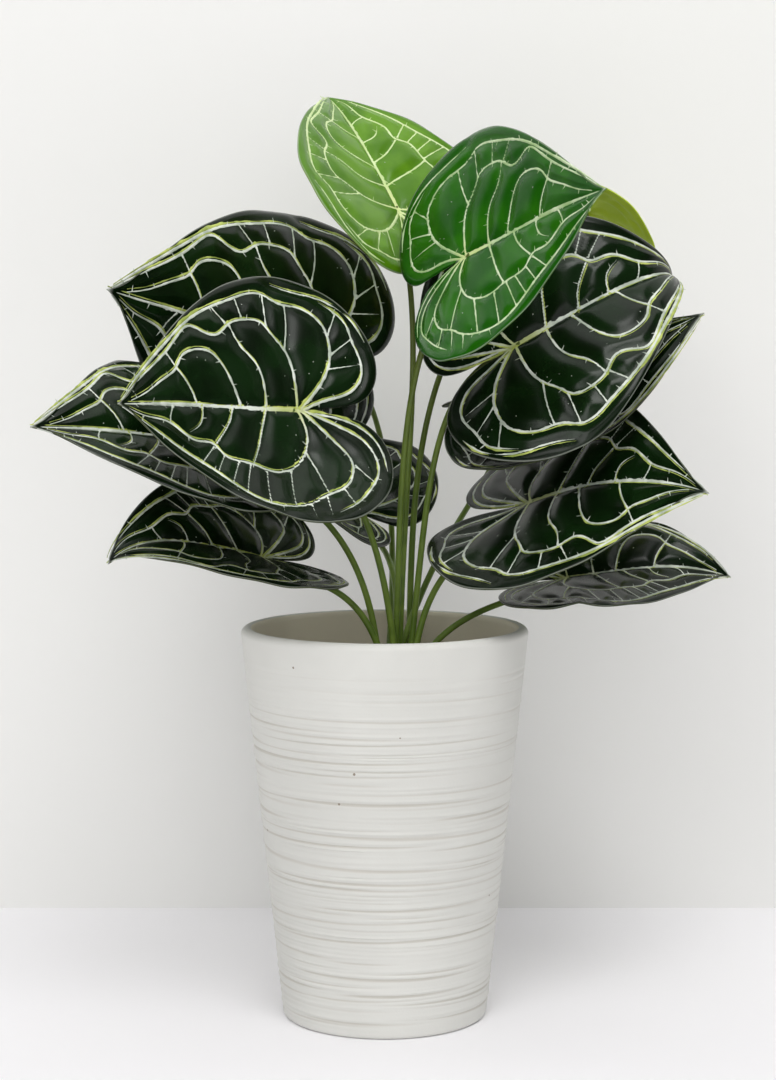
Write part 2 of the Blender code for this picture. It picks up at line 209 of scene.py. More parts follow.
MINUS_VEINS = (
    (8, ((0.33, 0.00), (0.35, 0.06), (0.39, 0.12))),
    (11, ((0.17, 0.00), (0.19, 0.07), (0.22, 0.14), (0.26, 0.18), (0.30, 0.185),
          (0.37, 0.15), (0.39, 0.12), (0.45, 0.08), (0.52, 0.04), (0.60, 0.01))),
    (7, ((0.42, 0.17), (0.39, 0.12))),
    (11, ((0.08, 0.00), (0.08, 0.08), (0.10, 0.15), (0.14, 0.20), (0.17, 0.28))),
    (12, ((-0.03, 0.00), (-0.03, 0.12), (-0.01, 0.20), (0.03, 0.26), (0.05, 0.29),
          (0.11, 0.30), (0.17, 0.28), (0.22, 0.24), (0.25, 0.24), (0.31, 0.265),
          (0.36, 0.23), (0.42, 0.17), (0.53, 0.09), (0.66, 0.00))),
    (13, ((-0.04, 0.00), (-0.09, 0.05), (-0.13, 0.10), (-0.16, 0.16), (-0.17, 0.24),
          (-0.16, 0.29), (-0.13, 0.33), (-0.07, 0.36), (-0.02, 0.37), (0.03, 0.40),
          (0.08, 0.40), (0.13, 0.38), (0.22, 0.34), (0.29, 0.30), (0.42, 0.195),
          (0.55, 0.09), (0.65, 0.01))),
    (6, ((-0.01, 0.20), (-0.03, 0.28), (-0.04, 0.365))),
    (6, ((0.18, 0.28), (0.22, 0.34))),
    (6, ((0.12, 0.30), (0.13, 0.38))),
    (6, ((0.04, 0.28), (0.03, 0.40))),
    (6, ((-0.17, 0.26), (-0.21, 0.34))),
    (6, ((-0.17, 0.19), (-0.25, 0.25))),
    (6, ((-0.15, 0.14), (-0.26, 0.16))),
    (12, ((-0.05, 0.00), (-0.15, 0.04), (-0.20, 0.055), (-0.25, 0.09), (-0.27, 0.13),
          (-0.27, 0.18), (-0.25, 0.25), (-0.24, 0.30), (-0.21, 0.34), (-0.16, 0.38))),
    (8, ((-0.01, 0.44), (-0.06, 0.42), (-0.14, 0.40), (-0.19, 0.38), (-0.24, 0.34),
         (-0.27, 0.30), (-0.295, 0.24))),
)
MIDRIB = (18, ((-0.05, 0.00), (0.15, 0.003), (0.40, -0.003), (0.62, 0.00), (0.668, 0.00)))


def linked(shape, name, materials):
    """An object made of a bmesh, smooth but for its sharp edges."""
    mesh = bpy.data.meshes.new(name)
    shape.to_mesh(mesh)
    shape.free()
    mesh.shade_smooth()
    mesh.set_sharp_from_angle(angle=radians(50))
    for material in materials:
        mesh.materials.append(material)
    piece = bpy.data.objects.new(name, mesh)
    bpy.context.scene.collection.objects.link(piece)
    return piece


def put_in_place(piece, slot, *nodes):
    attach(piece, "root")
    if nodes:
        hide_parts(*nodes)
    return piece


def spline_at(points, shares):
    """The natural cubic spline through points, read at shares of its chord length."""
    points = np.array(points, float)
    knots = np.concatenate([[0], np.cumsum(np.linalg.norm(np.diff(points, axis=0), axis=1))])
    gaps = np.diff(knots)
    system = np.eye(len(points))
    right = np.zeros_like(points)
    for i in range(1, len(points) - 1):
        system[i, i - 1 : i + 2] = gaps[i - 1], 2 * (gaps[i - 1] + gaps[i]), gaps[i]
        slope = (points[i + 1] - points[i]) / gaps[i] - (points[i] - points[i - 1]) / gaps[i - 1]
        right[i] = 6 * slope
    bends = np.linalg.solve(system, right)
    places = np.asarray(shares) * knots[-1]
    k = np.clip(np.searchsorted(knots, places) - 1, 0, len(gaps) - 1)
    gap = gaps[k][:, None]
    ahead = knots[k + 1][:, None] - places[:, None]
    behind = places[:, None] - knots[k][:, None]
    curve = (bends[k] * ahead**3 + bends[k + 1] * behind**3) / (6 * gap)
    line = (points[k] / gap - bends[k] * gap / 6) * ahead
    return curve + line + (points[k + 1] / gap - bends[k + 1] * gap / 6) * behind


def blade_axes(leaf):
    """Unit vectors at the hub: along the midrib, across it, and out of the blade's face."""
    heading, rise, roll = (radians(a) for a in (leaf.heading, leaf.rise, leaf.roll))
    along = Vector((cos(rise) * cos(heading), cos(rise) * sin(heading), sin(rise)))
    level = Vector((-sin(heading), cos(heading), 0))
    face = along.cross(level) * cos(roll) + level * sin(roll)
    return along, face.cross(along), face


def bent_midrib(leaf):
    """The midrib's X, Z and slope along the flat blade's X, in blade lengths."""
    flat = np.linspace(-0.4, 0.8, 1201)
    droop = -radians(leaf.droop) * (np.clip(flat, 0, None) / TIP_X) ** leaf.droop_power
    rise = radians(leaf.lobe_rise) * np.clip(flat, None, 0) / LOBE_X
    slope = np.where(flat >= 0, droop, rise)
    step = flat[1] - flat[0]
    runs = [
        np.concatenate([[0], np.cumsum((wave[1:] + wave[:-1]) / 2 * step)])
        for wave in (np.cos(slope), np.sin(slope))
    ]
    hub = np.abs(flat).argmin()
    return flat, runs[0] - runs[0][hub], runs[1] - runs[1][hub], slope


def blade_surface(leaf, flat_points, upper=None):
    """Where points of the flat blade lie in the bent blade's middle surface, in metres."""
    x = flat_points[:, 0]
    y = flat_points[:, 1] * leaf.width
    upper = y >= 0 if upper is None else upper
    away = np.where(upper, y, -y)
    lobe = np.where(upper, *leaf.lobe_fold) * np.clip(x, None, 0) / LOBE_X
    fold = np.radians(np.where(upper, *leaf.fold) + lobe)
    bend = np.radians(np.where(upper, *leaf.curl))
    bend = np.where(np.abs(bend) < 1e-4, 1e-4, bend) / HALF_WIDTH
    across = (np.sin(fold + bend * away) - np.sin(fold)) / bend * np.where(upper, 1, -1)
    lift = (np.cos(fold) - np.cos(fold + bend * away)) / bend
    turn = radians(leaf.twist) * x / TIP_X
    across, lift = (
        across * np.cos(turn) - lift * np.sin(turn),
        across * np.sin(turn) + lift * np.cos(turn),
    )
    across = across + radians(leaf.sweep) / 2 * np.clip(x, 0, None) ** 2
    flat, rib_x, rib_z, slope = bent_midrib(leaf)
    slope = np.interp(x, flat, slope)
    along = np.interp(x, flat, rib_x) - np.sin(slope) * lift
    up = np.interp(x, flat, rib_z) + np.cos(slope) * lift
    local = np.stack([along, across, up], axis=1) * leaf.length * MM
    return local @ np.array(blade_axes(leaf)) + np.array(leaf.hub) * MM


def surface_normals(leaf, flat_points):
    """Unit vectors out of the bent blade's face, smoothed over the fold at the midrib."""
    step = 0.004
    ahead = blade_surface(leaf, flat_points + (step, 0)) - blade_surface(leaf, flat_points - (step, 0))
    aside = blade_surface(leaf, flat_points + (0, step)) - blade_surface(leaf, flat_points - (0, step))
    normals = np.cross(ahead, aside)
    return normals / np.linalg.norm(normals, axis=1)[:, None]


def vein_lines():
    """Every vein of the print as (width, line), with lines of finely spaced points."""
    lines = [(MIDRIB[0], spline_at(MIDRIB[1], np.linspace(0, 1, 90)))]
    for veins, side in ((PLUS_VEINS, 1), (MINUS_VEINS, -1)):
        for width, points in veins:
            reach = sum(hypot(b[0] - a[0], b[1] - a[1]) for a, b in zip(points, points[1:]))
            count = max(6, round(reach * 110))
            if len(points) > 2:
                line = spline_at(points, np.linspace(0, 1, count))
            else:
                line = np.linspace(*np.array(points), count)
            lines.append((width, line * (1, side)))
    return lines


LINES = vein_lines()
LINE_POINTS = np.concatenate([line for _, line in LINES])


def free_ends(number):
    """Whether a line's start and its end stand clear of every other line."""
    others = np.concatenate([line for i, (_, line) in enumerate(LINES) if i != number])
    line = LINES[number][1]
    return [
        np.linalg.norm(others - end, axis=1).min() > FREE_END_GAP
        for end in (line[0], line[-1])
    ]


def distance_to_veins(flat_points):
    """Distance from each flat point to the nearest vein, in blade lengths."""
    nearest = np.empty(len(flat_points))
    for start in range(0, len(flat_points), 2000):
        part = flat_points[start : start + 2000]
        gaps = np.linalg.norm(part[:, None] - LINE_POINTS[None], axis=2)
        nearest[start : start + 2000] = gaps.min(axis=1)
    return nearest


def quilting(leaf, flat_points, margin):
    """How far the blade swells between its veins, in metres, dying out at the margin."""
    printed = flat_points * (1, -1) if leaf.mirrored else flat_points
    swell = 1 - np.exp(-((distance_to_veins(printed) / SWELL_REACH) ** 2))
    rib = np.exp(-((flat_points[:, 1] / RIB_REACH) ** 2))
    wave = np.sin(flat_points[:, 0] * WAVES + 2) * np.clip(1 - margin / WAVE_REACH, 0, 1) ** 2
    inner = np.clip(margin / MARGIN_REACH, 0, 1)
    return (SWELL_HEIGHT * swell - RIB_DEPTH * rib) * inner + WAVE_HEIGHT * wave


def make_blade(leaf, materials):
    """A fine grid laid onto the bent blade, with a swell between veins and a real thickness."""
    shape = bmesh.new()
    rows, columns = BLADE_ROWS, 2 * BLADE_COLUMNS
    bmesh.ops.create_grid(shape, x_segments=rows, y_segments=columns, size=1)
    unit = np.array([vert.co for vert in shape.verts])
    share = np.clip((unit[:, 0] + 1) / 2, 0, 1)
    out = np.clip(np.abs(unit[:, 1]), 0, 1)
    side = np.where(unit[:, 1] >= 0, 1, -1)
    edge = spline_at(HALF_OUTLINE, share)
    edge[:, 1] = np.clip(edge[:, 1], 0, None)
    rib = TIP_X + (NOTCH_X - TIP_X) * (1 - (1 - share) ** 1.6)
    flat = np.stack([rib * (1 - out) + edge[:, 0] * out, edge[:, 1] * out * side], axis=1)
    margin = (1 - out) * np.hypot(edge[:, 0] - rib, edge[:, 1])
    places = blade_surface(leaf, flat, unit[:, 1] >= 0)
    places += surface_normals(leaf, flat) * quilting(leaf, flat, margin)[:, None]
    for vert, place in zip(shape.verts, places):
        vert.co = place
    shape.verts.index_update()
    bed = shape.loops.layers.uv.new("flat")
    marks = shape.verts.layers.float.new("margin")
    for vert, value in zip(shape.verts, margin):
        vert[marks] = value
    for face in shape.faces:
        for loop in face.loops:
            loop[bed].uv = flat[loop.vert.index]
    bmesh.ops.reverse_faces(shape, faces=shape.faces[:])
    bmesh.ops.remove_doubles(shape, verts=shape.verts[:], dist=1e-6)
    blade = linked(shape, "leaf_" + leaf.name + "_fine", materials)
    shell = blade.modifiers.new("thickness", "SOLIDIFY")
    shell.thickness = BLADE_THICKNESS
    shell.offset = 0
    shell.material_offset = 1
    shell.material_offset_rim = 2
    return blade


def ribbon(shape, leaf, line, widths, shift, lift, index):
    """A low crowned strip along a line on the blade's face, its two sides sunk in the blade."""
    count = len(line) - 1
    heading = np.gradient(line, axis=0)
    heading /= np.linalg.norm(heading, axis=1)[:, None]
    sideways = np.stack([-heading[:, 1], heading[:, 0]], axis=1)
    made = bmesh.ops.create_grid(shape, x_segments=count, y_segments=2, size=1)["verts"]
    unit = np.array([vert.co for vert in made])
    k = np.rint((unit[:, 0] + 1) / 2 * count).astype(int)
    across = unit[:, 1]
    flat = line[k] + sideways[k] * (across * widths[k] / 2)[:, None] + shift
    bed = shape.loops.layers.uv["flat"]
    rise = quilting(leaf, flat, np.ones(len(flat))) + BLADE_THICKNESS / 2
    rise += np.where(np.abs(across) < 0.5, lift, -0.1 * MM)
    places = blade_surface(leaf, flat) + surface_normals(leaf, flat) * rise[:, None]
    spots = {}
    for vert, place, spot in zip(made, places, flat):
        vert.co = place
        spots[vert] = spot
    for face in {face for vert in made for face in vert.link_faces}:
        face.material_index = index
        for loop in face.loops:
            loop[bed].uv = spots[loop.vert]


def make_veins(leaf, materials):
    """The print's raised lines: a chalky band with spurs and, on dark leaves, a yellow one."""
    shape = bmesh.new()
    shape.loops.layers.uv.new("flat")
    rng = np.random.default_rng(int(leaf.length))
    for number, (width, line) in enumerate(LINES):
        line = line * (1, -1) if leaf.mirrored else line
        share = np.linspace(0, 1, len(line))
        spots = [(number * 7.0, k * 0.45, leaf.length) for k in range(len(line))]
        rough = np.array([noise.noise(spot) for spot in spots])
        worn = np.array([noise.noise((x, y * 0.4, z + 50)) for x, y, z in spots])
        reach = np.concatenate([[0], np.cumsum(np.linalg.norm(np.diff(line, axis=0), axis=1))])
        ends = np.exp(-((reach / 0.011) ** 2)) + np.exp(-(((reach[-1] - reach) / 0.011) ** 2))
        wide = (width + 2.5 * (width < 9)) / 1000 * (1 - 0.15 * share)
        thin = np.clip((LINE_END_X - line[:, 0]) / LINE_TAPER, LINE_THINNEST, 1)
        wide = wide * (1 + 0.4 * rough + 0.5 * ends) * thin
        for free, away in zip(free_ends(number), (reach, reach[-1] - reach)):
            if free:
                wide = wide * np.clip(away / FREE_END_TAPER, FREE_END_THINNEST, 1)
        ribbon(shape, leaf, line, wide * LINE_SPREAD, (0, 0), CHALK_LIFT, 0)
        if width > 7 and leaf.skin == "dark":
            second = wide * np.clip(0.9 + 0.9 * worn, 0.3, 1.2)
            shift = YELLOW_SHIFT * rng.uniform(0.7, 1.1)
            ribbon(shape, leaf, line, second, shift, YELLOW_LIFT, 1)
        if width > 8:
            add_spurs(shape, leaf, line, rng)
    strips = linked(shape, "veins_" + leaf.name, materials)
    shell = strips.modifiers.new("thickness", "SOLIDIFY")
    shell.thickness = 0.12 * MM
    shell.offset = -1
    return strips


def add_spurs(shape, leaf, line, rng):
    """Short thorns of print that leave a vein at random places and sides."""
    for k in range(6, len(line) - 4, 9):
        k += rng.integers(-3, 4)
        along = line[k + 1] - line[k - 1]
        along /= np.linalg.norm(along)
        aside = np.array((-along[1], along[0])) * rng.choice((-1, 1))
        tip = line[k] + aside * rng.uniform(0.010, 0.020) + along * rng.uniform(-0.008, 0.008)
        thorn = np.linspace(line[k], tip, 5)
        ribbon(shape, leaf, thorn, np.linspace(0.008, 0.0015, 5), (0, 0), 0.15 * MM, 0)


def stem_path(leaf):
    """The stem's two ends and handles, ending just under the blade."""
    foot = Vector((leaf.stem_foot[0] * MM, leaf.stem_foot[1] * MM, SOIL_TOP - STEM_SUNK))
    leaves, arrives = (Vector(p) * MM for p in (leaf.stem_leaves, leaf.stem_arrives))
    joint = np.array([(STEM_JOINT_X, 0.0)])
    normal = Vector(surface_normals(leaf, joint)[0])
    neck = Vector(blade_surface(leaf, joint)[0]) - normal * 0.8 * MM
    return foot, leaves, arrives, neck


def make_stem(leaf, material):
    """A tube swept along the stem's curve, swollen a little at its foot and under the blade."""
    points = interpolate_bezier(*stem_path(leaf), STEM_STEPS + 1)
    shape = bmesh.new()
    heading = (points[1] - points[0]).normalized()
    turn = heading.to_track_quat("Z", "Y")
    before = Matrix.Translation(points[0]) @ turn.to_matrix().to_4x4()
    bmesh.ops.create_circle(
        shape, cap_ends=True, segments=STEM_SIDES, radius=STEM_FOOT_RADIUS, matrix=before
    )
    ring = shape.edges[:]
    for i in range(1, STEM_STEPS + 1):
        share = i / STEM_STEPS
        ahead = (points[min(i + 1, STEM_STEPS)] - points[i - 1]).normalized()
        turn = heading.rotation_difference(ahead) @ turn
        heading = ahead
        radius = STEM_FOOT_RADIUS + (STEM_NECK_RADIUS - STEM_FOOT_RADIUS) * share
        radius *= 1 + 0.2 * max(0, (share - 0.93) / 0.07) ** 2
        place = Matrix.Translation(points[i]) @ turn.to_matrix().to_4x4()
        place = place @ Matrix.Scale(radius / STEM_FOOT_RADIUS, 4)
        grown = bmesh.ops.extrude_edge_only(shape, edges=ring)["geom"]
        verts = [item for item in grown if isinstance(item, bmesh.types.BMVert)]
        ring = [item for item in grown if isinstance(item, bmesh.types.BMEdge)]
        bmesh.ops.transform(shape, matrix=place @ before.inverted(), verts=verts)
        before = place
    bmesh.ops.contextual_create(shape, geom=ring)
    bmesh.ops.recalc_face_normals(shape, faces=shape.faces[:])
    return linked(shape, "stem_" + leaf.name + "_fine", [material])


def outer_radius(height):
    """The pot's outer radius, before the lip and the foot are rounded."""
    return FOOT_RADIUS + (RIM_RADIUS - FOOT_RADIUS) * height / POT_HEIGHT


def arc(centre, radius, start, end, steps):
    """Points of an arc in the XZ plane, with angles in degrees from +X towards +Z."""
    angles = np.radians(np.linspace(start, end, steps + 1))
    return [(centre[0] + radius * cos(a), centre[1] + radius * sin(a)) for a in angles]


def groove_depths(angles, heights):
    """Depth of the pot's brushed strokes, in metres: level ridges with a groove under each."""
    rng = np.random.default_rng(21)
    depths = np.zeros(len(heights))
    for _ in range(STROKES):
        level = rng.uniform(6, 226) * MM
        middle, reach = rng.uniform(-pi, pi), rng.uniform(0.35, 1.5)
        broad = rng.uniform(0.5, 1.6) * MM
        deep = rng.uniform(0.10, 0.50) * MM * (0.35 if level > 200 * MM else 1)
        turn = (angles - middle + pi) % (2 * pi) - pi
        slant = rng.uniform(-1.2, 1.2) * MM
        away = (heights - level - slant * turn) / broad
        fade = np.clip(1.3 - np.abs(turn) / reach, 0, 1)
        depths += deep * fade * away * np.exp(-(away**2)) * 1.6
    ends = np.clip((heights - 3 * MM) / (5 * MM), 0, 1)
    ends *= np.clip((POT_HEIGHT - 8 * MM - heights) / (10 * MM), 0, 1)
    return np.clip(depths, -DEEPEST_STROKE, HIGHEST_RIDGE) * ends


def make_pot(material):
    """The pot turned from its profile, then its side scored with grooves."""
    foot_centre = (outer_radius(FOOT_ROUND) - FOOT_ROUND, FOOT_ROUND)
    lip_height = POT_HEIGHT - LIP_ROUND
    lip_centre = (outer_radius(lip_height) - WALL / 2, lip_height)
    profile = [(0, 0)] + arc(foot_centre, FOOT_ROUND, -90, 0, 8)
    heights = np.linspace(FOOT_ROUND, lip_height, POT_ROWS)[1:-1]
    profile += [(outer_radius(height), height) for height in heights]
    profile += arc(lip_centre, WALL / 2, 0, 180, 16)
    profile += [
        (outer_radius(height) - WALL, height)
        for height in np.linspace(lip_height, POT_FLOOR, 20)[1:]
    ]
    profile += [(0, POT_FLOOR)]
    shape = bmesh.new()
    points = [shape.verts.new((radius, 0, height)) for radius, height in profile]
    edges = [shape.edges.new(pair) for pair in zip(points, points[1:])]
    bmesh.ops.spin(
        shape, geom=points + edges, cent=(0, 0, 0), axis=(0, 0, 1), angle=2 * pi,
        steps=POT_SIDES, use_merge=True,
    )
    bmesh.ops.remove_doubles(shape, verts=shape.verts[:], dist=1e-6)
    bmesh.ops.recalc_face_normals(shape, faces=shape.faces[:])
    places = np.array([vert.co for vert in shape.verts])
    radii = np.hypot(places[:, 0], places[:, 1])
    angles = np.arctan2(places[:, 1], places[:, 0])
    side = outer_radius(places[:, 2])
    outside = (radii > side - 1 * MM) & (places[:, 2] > FOOT_ROUND) & (places[:, 2] < lip_height)
    depths = np.where(outside, groove_depths(angles, places[:, 2]), 0)
    scales = 1 + depths / np.maximum(radii, WALL)
    # inside marks the inner wall, which the pot's material paints a brighter cream as painted light
    inside = radii < side - 0.75 * WALL
    grooves = shape.verts.layers.float.new("groove")
    insides = shape.verts.layers.float.new("inside")
    for i, vert in enumerate(shape.verts):
        vert.co.x *= scales[i]
        vert.co.y *= scales[i]
        vert[grooves] = depths[i] / MM
        vert[insides] = inside[i]
    return linked(shape, "pot_fine", [material])


def make_soil(material):
    """Crumbly soil: a lumpy top over a plain plug, with loose crumbs on it."""
    inside = outer_radius(SOIL_TOP) - WALL - SOIL_SIDE_GAP
    shape = bmesh.new()
    rings = np.linspace(0, inside, 46)
    top = SOIL_TOP - 2.2 * MM
    base = top - SOIL_DEPTH
    profile = [(radius, top) for radius in rings] + [(inside, base), (0, base)]
    points = [shape.verts.new((radius, 0, height)) for radius, height in profile]
    edges = [shape.edges.new(pair) for pair in zip(points, points[1:])]
    bmesh.ops.spin(
        shape, geom=points + edges, cent=(0, 0, 0), axis=(0, 0, 1), angle=2 * pi,
        steps=128, use_merge=True,
    )
    bmesh.ops.remove_doubles(shape, verts=shape.verts[:], dist=1e-6)
    bmesh.ops.recalc_face_normals(shape, faces=shape.faces[:])
    for vert in shape.verts:
        if vert.co.z > top - MM:
            coarse = noise.noise(vert.co * 90)
            fine = noise.noise(vert.co * 330)
            vert.co.z += (1.1 * coarse + 0.8 * fine) * MM
    rng = np.random.default_rng(7)
    for _ in range(CRUMBS):
        angle, radius = rng.uniform(0, 2 * pi), inside * 0.96 * rng.uniform(0, 1) ** 0.5
        size = rng.uniform(0.7, 2.0) * MM
        place = Matrix.Translation((radius * cos(angle), radius * sin(angle), top + 0.3 * MM))
        squash = Matrix.Diagonal((1, rng.uniform(0.6, 1), rng.uniform(0.4, 0.8), 1))
        turned = Matrix.Rotation(rng.uniform(0, pi), 4, "Z") @ squash
        bmesh.ops.create_icosphere(shape, subdivisions=1, radius=size, matrix=place @ turned)
    return linked(shape, "soil_fine", [material])


def add_node(tree, kind, values=None, **settings):
    """A shader node with its settings, and a value or a link for each named input."""
    made = tree.nodes.new("ShaderNode" + kind)
    for key, value in settings.items():
        setattr(made, key, value)
    for socket, value in (values or {}).items():
        if isinstance(value, bpy.types.NodeSocket):
            tree.links.new(value, made.inputs[socket])
        else:
            made.inputs[socket].default_value = value
    return made


MIX_SHARE, MIX_A, MIX_B, MIX_RESULT = 0, 6, 7, 2


def mix_colours(tree, share, first, second, blend="MIX"):
    """The colour between two, by share."""
    sockets = {MIX_SHARE: share, MIX_A: first, MIX_B: second}
    mixed = add_node(tree, "Mix", sockets, data_type="RGBA", blend_type=blend)
    return mixed.outputs[MIX_RESULT]


def calculate(tree, operation, first, second=0.0):
    """The result of one Math node, kept between 0 and 1."""
    sockets = {0: first, 1: second}
    made = add_node(tree, "Math", sockets, operation=operation, use_clamp=True)
    return made.outputs["Value"]


def ranged(tree, value, low, high, first=0.0, last=1.0):
    """Value carried from low..high to first..last, eased at both ends."""
    sockets = {"Value": value, "From Min": low, "From Max": high, "To Min": first, "To Max": last}
    return add_node(tree, "MapRange", sockets, interpolation_type="SMOOTHSTEP").outputs["Result"]


def noise_of(tree, place, scale, detail=3.0):
    sockets = {"Vector": place, "Scale": scale, "Detail": detail}
    return add_node(tree, "TexNoise", sockets).outputs["Fac"]


def new_group(name, inputs, outputs):
    """An empty effect with its named sockets, as (group, its inputs, its outputs)."""
    group = bpy.data.node_groups.new(name, "ShaderNodeTree")
    for in_out, sockets in (("INPUT", inputs), ("OUTPUT", outputs)):
        for socket, kind in sockets.items():
            group.interface.new_socket(
                name=socket, in_out=in_out, socket_type="NodeSocket" + kind
            )
    given = group.nodes.new("NodeGroupInput").outputs
    return group, given, group.nodes.new("NodeGroupOutput").inputs


def make_cloud_effect():
    """A mask of soft clouds."""
    group, given, result = new_group(
        "soft_clouds", {"Place": "Vector", "Scale": "Float"}, {"Mask": "Float"}
    )
    coarse = noise_of(group, given["Place"], given["Scale"], 4.0)
    group.links.new(ranged(group, coarse, 0.35, 0.65), result["Mask"])
    return group


def make_fleck_effect():
    """Small round flecks strewn thinly, each in its own cell."""
    group, given, result = new_group(
        "fine_flecks",
        {"Place": "Vector", "Scale": "Float", "Reach": "Float", "Share": "Float"},
        {"Mask": "Float"},
    )
    cells = add_node(group, "TexVoronoi", {"Vector": given["Place"], "Scale": given["Scale"]})
    spot = add_node(group, "Math", {0: cells.outputs["Distance"], 1: given["Reach"]},
                    operation="LESS_THAN").outputs["Value"]
    draw = add_node(group, "SeparateColor", {"Color": cells.outputs["Color"]}).outputs["Red"]
    kept = add_node(group, "Math", {0: draw, 1: given["Share"]},
                    operation="LESS_THAN").outputs["Value"]
    group.links.new(calculate(group, "MULTIPLY", spot, kept), result["Mask"])
    return group


def make_grain_effect():
    """The height of a fine, even grain, for a Bump node."""
    group, given, result = new_group(
        "fine_grain", {"Place": "Vector", "Scale": "Float"}, {"Height": "Float"}
    )
    fine = noise_of(group, given["Place"], given["Scale"], 6.0)
    group.links.new(fine, result["Height"])
    return group


CLOUDS, FLECKS, GRAIN = make_cloud_effect(), make_fleck_effect(), make_grain_effect()


def effect(tree, group, **values):
    """A placed effect group, with its inputs set by name."""
    placed = add_node(tree, "Group", node_tree=group)
    for socket, value in values.items():
        if isinstance(value, bpy.types.NodeSocket):
            tree.links.new(value, placed.inputs[socket])
        else:
            placed.inputs[socket].default_value = value
    return placed.outputs[0]


def new_material(name, **settings):
    """A material with its Principled shader, as (material, node tree, shader inputs)."""
    material = bpy.data.materials.new(name)
    material.use_nodes = True
    tree = material.node_tree
    shader = tree.nodes["Principled BSDF"].inputs
    for socket, value in settings.items():
        shader[socket.replace("_", " ")].default_value = value
    return material, tree, shader


def srgb(red, green, blue):
    """A linear colour from the eye's 0 to 255 scale."""
    return (*(((c / 255 + 0.055) / 1.055) ** 2.4 if c > 10 else c / 255 / 12.92
              for c in (red, green, blue)), 1.0)


def bumped(tree, shader, height, distance, strength=1.0):
    sockets = {"Height": height, "Distance": distance, "Strength": strength}
    tree.links.new(add_node(tree, "Bump", sockets).outputs["Normal"], shader["Normal"])


def object_place(tree):
    return add_node(tree, "TexCoord").outputs["Object"]


def leaf_face_material(name, deep, glow, chalk):
    """Printed velvet: cloudy green, a plain dark margin, a thin pale edge and tiny flecks."""
    material, tree, shader = new_material("leaf_" + name, Specular_IOR_Level=0.22)
    place = object_place(tree)
    margin = add_node(tree, "Attribute", attribute_name="margin").outputs["Fac"]
    clouds = effect(tree, CLOUDS, Place=place, Scale=34.0)
    colour = mix_colours(tree, clouds, deep, glow)
    dark_band = ranged(tree, margin, 0.030, 0.055, 0.75, 0.0)
    colour = mix_colours(tree, dark_band, colour, deep)
    flecks = effect(tree, FLECKS, Place=place, Scale=420.0, Reach=0.12, Share=0.03)
    colour = mix_colours(tree, flecks, colour, chalk)
    pale = ranged(tree, margin, 0.001, 0.006, 0.35, 0.0)
    colour = mix_colours(tree, pale, colour, chalk)
    flat = add_node(tree, "UVMap", uv_map="flat").outputs["UV"]
    along = add_node(tree, "SeparateXYZ", {"Vector": flat}).outputs["X"]
    colour = mix_colours(tree, ranged(tree, along, 0.645, 0.672, 0.0, 0.7), colour, chalk)
    tree.links.new(colour, shader["Base Color"])
    tree.links.new(ranged(tree, clouds, 0.0, 1.0, 0.27, 0.20), shader["Roughness"])
    bumped(tree, shader, effect(tree, GRAIN, Place=place, Scale=1500.0), 0.0001, 0.3)
    return material


def leaf_back_material(name, deep, glow):
    """The plain back of a blade: dull green cloth with a faint cloudiness."""
    material, tree, shader = new_material(name, Specular_IOR_Level=0.3)
    place = object_place(tree)
    clouds = effect(tree, CLOUDS, Place=place, Scale=26.0)
    tree.links.new(mix_colours(tree, clouds, deep, glow), shader["Base Color"])
    tree.links.new(ranged(tree, clouds, 0.0, 1.0, 0.62, 0.50), shader["Roughness"])
    bumped(tree, shader, effect(tree, GRAIN, Place=place, Scale=1100.0), 0.0003, 0.6)
    return material


def print_material(name, tone, other, warm):
    """The raised print of a vein: chalky, worn along its run, and warmer near the hub."""
    material, tree, shader = new_material(name, Specular_IOR_Level=0.3)
    place = object_place(tree)
    clouds = effect(tree, CLOUDS, Place=place, Scale=90.0)
    flat = add_node(tree, "UVMap", uv_map="flat").outputs["UV"]
    away = add_node(tree, "VectorMath", {0: flat}, operation="LENGTH").outputs["Value"]
    colour = mix_colours(tree, clouds, tone, other)
    colour = mix_colours(tree, ranged(tree, away, 0.02, 0.12, 0.7, 0.0), colour, warm)
    tree.links.new(colour, shader["Base Color"])
    tree.links.new(ranged(tree, clouds, 0.0, 1.0, 0.55, 0.45), shader["Roughness"])
    bumped(tree, shader, effect(tree, GRAIN, Place=place, Scale=1800.0), 0.0001, 0.5)
    return material


def stem_material():
    """Olive green stems, browner with height and faintly clouded."""
    material, tree, shader = new_material("stem_olive", Specular_IOR_Level=0.4)
    place = object_place(tree)
    height = add_node(tree, "SeparateXYZ", {"Vector": place}).outputs["Z"]
    brown = ranged(tree, height, 0.24, 0.46, 0.0, 0.75)
    clouds = effect(tree, CLOUDS, Place=place, Scale=60.0)
    green = mix_colours(tree, clouds, srgb(88, 116, 34), srgb(112, 138, 50))
    tree.links.new(mix_colours(tree, brown, green, srgb(78, 84, 34)), shader["Base Color"])
    tree.links.new(ranged(tree, clouds, 0.0, 1.0, 0.42, 0.55), shader["Roughness"])
    bumped(tree, shader, effect(tree, GRAIN, Place=place, Scale=900.0), 0.0002, 0.5)
    return material


